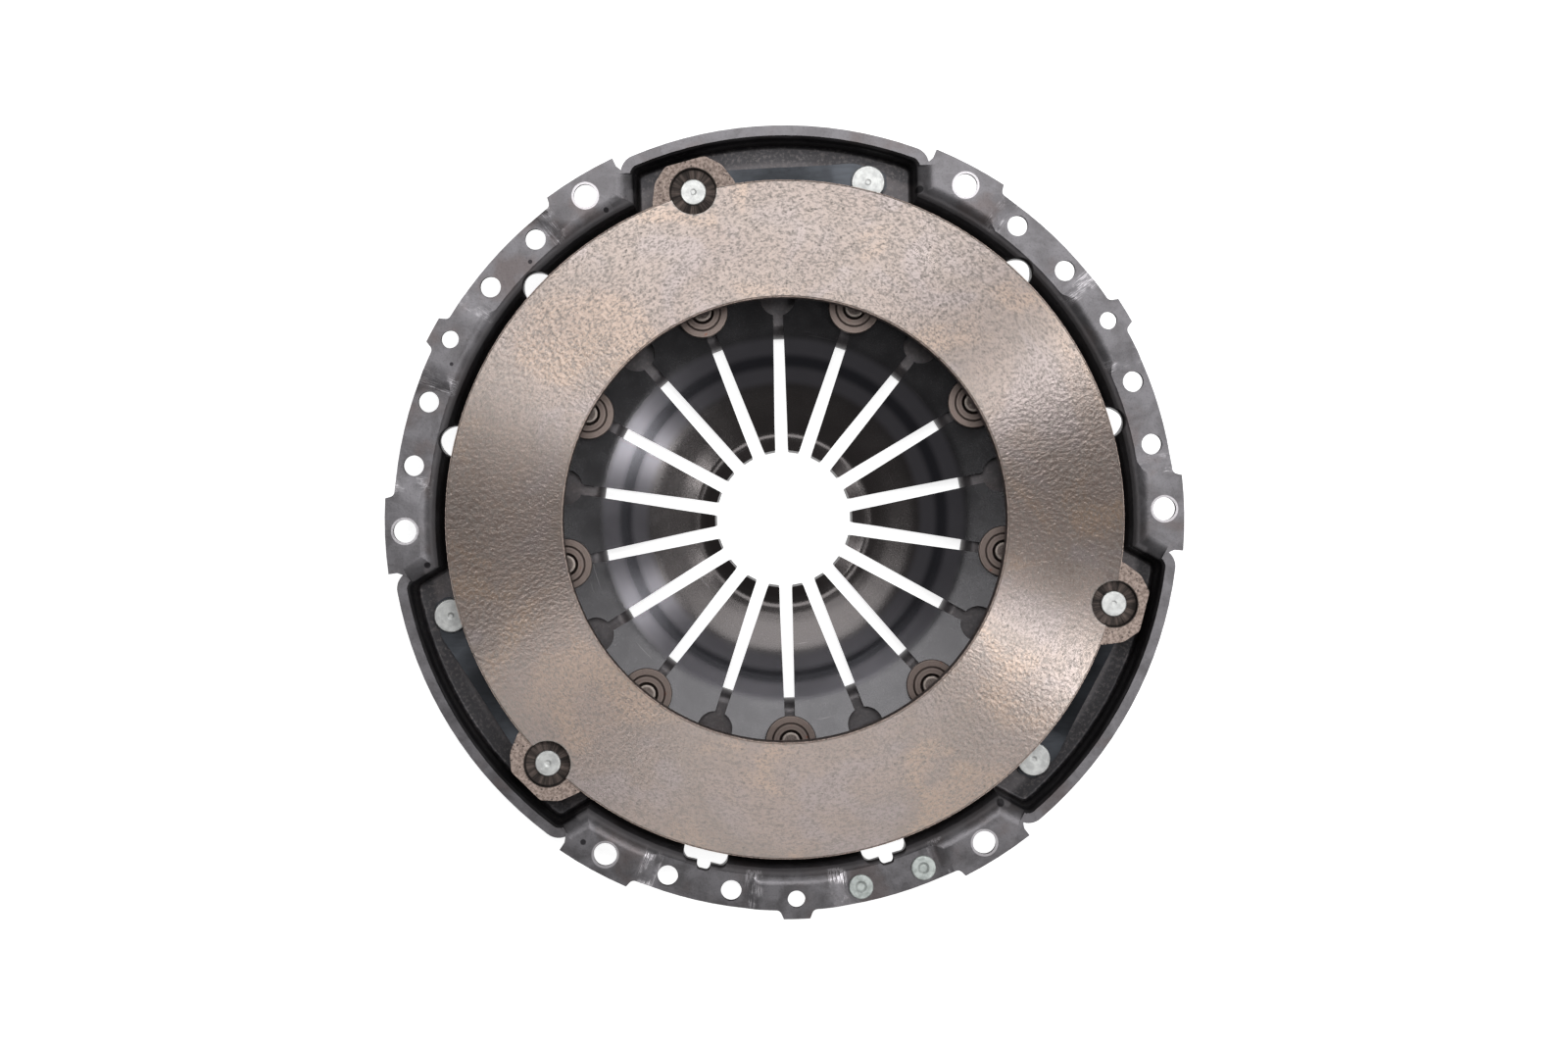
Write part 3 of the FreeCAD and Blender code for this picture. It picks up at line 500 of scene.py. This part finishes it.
def disc_steel():
    """Brown-grey turned discs with rings and a few rust stains."""
    brown, pale_brown = color(98, 87, 82), color(114, 103, 98)
    fleck, rust = color(76, 66, 61), color(112, 62, 44)
    kit = Nodes("disc_steel")
    ring_r = kit.around(disc_count, first_disc_angle, disc_circle_r)[0]
    rings = kit.noise(kit.join(ring_r, 0.0, 0.0), 0.5 * mm, 2.0, 0.6)
    fine = kit.noise(kit.position, 0.7 * mm, 4.0, 0.7)
    stains = kit.noise(kit.shifted(0.6), 3.0 * mm, 3.0, 0.6)
    base = kit.graded(rings, 0.35, 0.65, brown, pale_brown)
    base = kit.over(base, kit.step(fine, 0.5, 0.72), 0.5, fleck)
    base = kit.over(base, kit.step(stains, 0.66, 0.74), 0.7, rust)
    relief = kit.plus(kit.times(rings, 0.5), kit.times(fine, 0.4))
    return kit.finish(base, 0.42, 0.85, kit.bump(relief, 0.04 * mm))


def rivet_steel():
    """Formed ends of the spacer rivets: grey, with a lighter rim."""
    grey, pale_grey, bright = color(82, 73, 70), color(114, 105, 100), color(168, 158, 150)
    kit = Nodes("rivet_steel")
    end_r = kit.around(disc_count, first_disc_angle, disc_circle_r)[0]
    fine = kit.noise(kit.position, 0.6 * mm, 4.0, 0.7)
    rim = kit.band(end_r, 2.6 * mm, 3.1 * mm, 0.3 * mm)
    base = kit.graded(fine, 0.35, 0.68, grey, pale_grey)
    base = kit.over(base, rim, 0.6, bright)
    return kit.finish(base, 0.38, 0.85, kit.bump(fine, 0.04 * mm))


def zinc_rivet():
    """Pale zinc-plated heads with turning rings, greener where the balance rivets are."""
    zinc, pale_zinc, ring_grey = color(172, 173, 172), color(202, 203, 201), color(150, 152, 151)
    green_zinc, pale_green = color(156, 162, 159), color(188, 194, 191)

    kit = Nodes("zinc_rivet")
    lug_r = kit.around(strap_count, first_lug_angle, lug_rivet_r)[0]
    strap_r = kit.around(strap_count, first_strap_angle, strap_rivet_r)[0]
    middle_r = kit.math("MINIMUM", lug_r, strap_r)
    rings = kit.noise(kit.join(middle_r, 0.0, 0.0), 0.6 * mm, 2.0, 0.6)
    cloud = kit.noise(kit.position, 2.6 * mm, 4.0, 0.65)
    fine = kit.noise(kit.position, 0.5 * mm, 3.0, 0.7)
    by_balance_rivets = kit.step(kit.y, -118 * mm, -121 * mm)

    base = kit.graded(cloud, 0.32, 0.68, zinc, pale_zinc)
    base = kit.over(base, kit.step(rings, 0.5, 0.7), 0.3, ring_grey)
    greener = kit.graded(cloud, 0.35, 0.65, green_zinc, pale_green)
    base = kit.mix(by_balance_rivets, base, greener)

    dent = kit.step(middle_r, 1.4 * mm, 0.5 * mm)
    relief = kit.plus(kit.times(rings, 0.4), kit.times(fine, 0.2))
    relief = kit.minus(relief, kit.times(dent, 1.6))
    return kit.finish(base, 0.44, 0.6, kit.bump(relief, 0.09 * mm))


def ring_wire():
    """Drawn spring wire with lengthwise lines."""
    kit = Nodes("ring_wire")
    lines = kit.noise(kit.turned(8 * mm), 0.5 * mm, 3.0, 0.6)
    base = kit.graded(lines, 0.35, 0.65, color(84, 82, 84), color(136, 132, 130))
    return kit.finish(base, 0.34, 0.9, kit.bump(lines, 0.02 * mm))


def make_materials():
    """One material for each slot, named as the slot is."""
    makers = (friction_iron, pressed_steel, spring_steel, strap_steel,
              disc_steel, rivet_steel, zinc_rivet, ring_wire)
    return {maker.__name__: maker() for maker in makers}


def dress_nodes(materials):
    """Gives every CAD node the material of its slot in the record."""
    for part in frame["record"]["subparts"]:
        node = frame["nodes"][part["node"]]
        node.data.materials.clear()
        node.data.materials.append(materials[part["material_slot"]])


def edge_shading_group():
    """Geometry nodes that weld facets at their common points and smooth all but real edges."""
    group = bpy.data.node_groups.new("edge_shading", "GeometryNodeTree")
    group.interface.new_socket("Geometry", in_out="INPUT", socket_type="NodeSocketGeometry")
    group.interface.new_socket("Geometry", in_out="OUTPUT", socket_type="NodeSocketGeometry")
    start = group.nodes.new("NodeGroupInput")
    end = group.nodes.new("NodeGroupOutput")
    weld = group.nodes.new("GeometryNodeMergeByDistance")
    weld.inputs["Distance"].default_value = weld_distance
    smooth = group.nodes.new("GeometryNodeSetShadeSmooth")
    sharp = group.nodes.new("GeometryNodeSetShadeSmooth")
    sharp.domain = "EDGE"
    sharp.inputs["Shade Smooth"].default_value = False
    angle = group.nodes.new("GeometryNodeInputMeshEdgeAngle")
    bent = group.nodes.new("FunctionNodeCompare")
    bent.operation = "GREATER_THAN"
    bent.inputs[1].default_value = math.radians(crisp_edge_angle)
    link = group.links.new
    link(start.outputs[0], weld.inputs["Geometry"])
    link(weld.outputs[0], smooth.inputs["Geometry"])
    link(smooth.outputs[0], sharp.inputs["Geometry"])
    link(angle.outputs["Unsigned Angle"], bent.inputs[0])
    link(bent.outputs[0], sharp.inputs["Selection"])
    link(sharp.outputs[0], end.inputs[0])
    return group


def shade(piece, group):
    """Smooth shading with crisp edges, and flat faces kept flat."""
    edges = piece.modifiers.new("edge_shading", "NODES")
    edges.node_group = group
    weighted = piece.modifiers.new("weighted_normals", "WEIGHTED_NORMAL")
    weighted.keep_sharp = True
    weighted.weight = 100


def on_circle(radius, degrees):
    """Point of a circle about the clutch axis."""
    angle = math.radians(degrees)
    return Vector((math.cos(angle), math.sin(angle), 0)) * radius


def bending_straps(material):
    """Copies of the strap leaves between the lug and the cover, in place of the CAD leaves."""
    pieces = []
    for i in range(strap_count):
        for k in range(leaves_per_strap):
            node = frame["nodes"]["strap_%d_leaf_%d" % (i + 1, k + 1)]
            leaf = bpy.data.objects.new("bending_" + node.name, node.data.copy())
            bpy.context.scene.collection.objects.link(leaf)
            leaf.matrix_world = node.matrix_world
            leaf.data.materials.clear()
            leaf.data.materials.append(material)
            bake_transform(leaf)
            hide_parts(node.name)
            pieces.append(leaf)
    return pieces


def shown_to_viewer(tree):
    """1 for rays of the camera and for what metal and glass show, else 0."""
    path = tree.nodes.new("ShaderNodeLightPath")
    shown = path.outputs["Is Camera Ray"]
    for ray in ("Is Transmission Ray", "Is Glossy Ray"):
        either = tree.nodes.new("ShaderNodeMath")
        either.operation = "MAXIMUM"
        tree.links.new(shown, either.inputs[0])
        tree.links.new(path.outputs[ray], either.inputs[1])
        shown = either.outputs[0]
    return shown


def add_floor():
    """Pale floor that shows as white with a faint shadow."""
    place = (0, 0, cad_low.z - floor_gap)
    bpy.ops.mesh.primitive_plane_add(size=floor_size, location=place)
    floor = bpy.context.object
    floor.name = "studio_floor"
    material = bpy.data.materials.new("studio_floor")
    material.use_nodes = True
    tree = material.node_tree
    tree.nodes.clear()
    lift = tree.nodes.new("ShaderNodeMath")
    lift.operation = "MULTIPLY"
    lift.inputs[1].default_value = floor_glow
    glow = tree.nodes.new("ShaderNodeEmission")
    diffuse = tree.nodes.new("ShaderNodeBsdfDiffuse")
    diffuse.inputs["Color"].default_value = (floor_grey, floor_grey, floor_grey, 1.0)
    both = tree.nodes.new("ShaderNodeAddShader")
    output = tree.nodes.new("ShaderNodeOutputMaterial")
    link = tree.links.new
    link(shown_to_viewer(tree), lift.inputs[0])
    link(lift.outputs[0], glow.inputs["Strength"])
    link(diffuse.outputs[0], both.inputs[0])
    link(glow.outputs[0], both.inputs[1])
    link(both.outputs[0], output.inputs["Surface"])
    floor.data.materials.append(material)


def area_light(name, azimuth, lean, size, radiance):
    """Soft lamp aimed at the part, leaning from the axis towards an azimuth, in degrees."""
    side = on_circle(math.sin(math.radians(lean)), azimuth)
    away = Vector((side.x, side.y, math.cos(math.radians(lean))))
    data = bpy.data.lights.new(name, "AREA")
    data.shape = "RECTANGLE"
    data.size, data.size_y = size
    data.energy = radiance * math.pi * size[0] * size[1]
    lamp = bpy.data.objects.new(name, data)
    bpy.context.scene.collection.objects.link(lamp)
    lamp.location = away * lamp_distance
    lamp.rotation_mode = "QUATERNION"
    lamp.rotation_quaternion = away.to_track_quat("Z", "Y")


def add_lights():
    """One broad lamp above, and two strips whose streaks cross the face's right side."""
    area_light("top_softbox", azimuth=90, lean=13, size=(0.75, 0.56), radiance=7.2)
    area_light("right_strip_high", azimuth=26, lean=30, size=(0.12, 0.45), radiance=18.0)
    area_light("right_strip_low", azimuth=-29, lean=30, size=(0.12, 0.45), radiance=27.5)


def add_world():
    """Soft room light, brighter at the horizon, which shows as white there."""
    world = bpy.data.worlds.new("studio")
    world.use_nodes = True
    tree = world.node_tree
    link = tree.links.new
    coordinates = tree.nodes.new("ShaderNodeTexCoord")
    parts = tree.nodes.new("ShaderNodeSeparateXYZ")
    link(coordinates.outputs["Generated"], parts.inputs[0])

    def by_height(low, high, strength_low, strength_high):
        node = tree.nodes.new("ShaderNodeMapRange")
        node.inputs["From Min"].default_value = low
        node.inputs["From Max"].default_value = high
        node.inputs["To Min"].default_value = strength_low
        node.inputs["To Max"].default_value = strength_high
        link(parts.outputs["Z"], node.inputs["Value"])
        return node.outputs["Result"]

    room = by_height(0.0, 1.0, room_at_horizon, room_overhead)
    white = by_height(white_below, room_above, 1.0, 0.0)
    backdrop = tree.nodes.new("ShaderNodeMath")
    backdrop.operation = "MAXIMUM"
    link(room, backdrop.inputs[0])
    link(white, backdrop.inputs[1])
    chosen = tree.nodes.new("ShaderNodeMix")
    link(shown_to_viewer(tree), chosen.inputs["Factor"])
    link(room, chosen.inputs["A"])
    link(backdrop.outputs[0], chosen.inputs["B"])
    background = tree.nodes["Background"]
    background.inputs["Color"].default_value = (1.0, 1.0, 1.0, 1.0)
    link(chosen.outputs["Result"], background.inputs["Strength"])
    bpy.context.scene.world = world


def add_camera():
    """Looks down on the part from the photograph's place, turned as the pattern is there."""
    data = bpy.data.cameras.new("camera")
    data.lens = camera_lens
    data.sensor_width = sensor_width
    camera = bpy.data.objects.new("camera", data)
    bpy.context.scene.collection.objects.link(camera)
    turn = Euler((0, 0, math.radians(-pattern_turn))).to_matrix()
    metres_per_px = face_mm_per_px * mm
    distance = photo_width_px * metres_per_px * camera_lens / sensor_width
    across = (photo_width_px / 2 - axis_px[0]) * metres_per_px
    down = (photo_height_px / 2 - axis_px[1]) * metres_per_px
    target = turn @ Vector((across, -down, 0.0))
    target.z = friction_face_z
    place = target + turn @ camera_offset
    place.z = friction_face_z + distance
    back = (place - target).normalized()
    level = turn @ Vector((1, 0, 0))
    right = (level - back * level.dot(back)).normalized()
    up = back.cross(right)
    camera.matrix_world = Matrix((
        (right.x, up.x, back.x, place.x),
        (right.y, up.y, back.y, place.y),
        (right.z, up.z, back.z, place.z),
        (0, 0, 0, 1),
    ))
    bpy.context.scene.camera = camera


materials = make_materials()
dress_nodes(materials)
edge_shading = edge_shading_group()
for piece in list(frame["nodes"].values()) + bending_straps(materials["strap_steel"]):
    shade(piece, edge_shading)
add_floor()
add_lights()
add_world()
add_camera()
bpy.context.scene.view_settings.view_transform = "Standard"
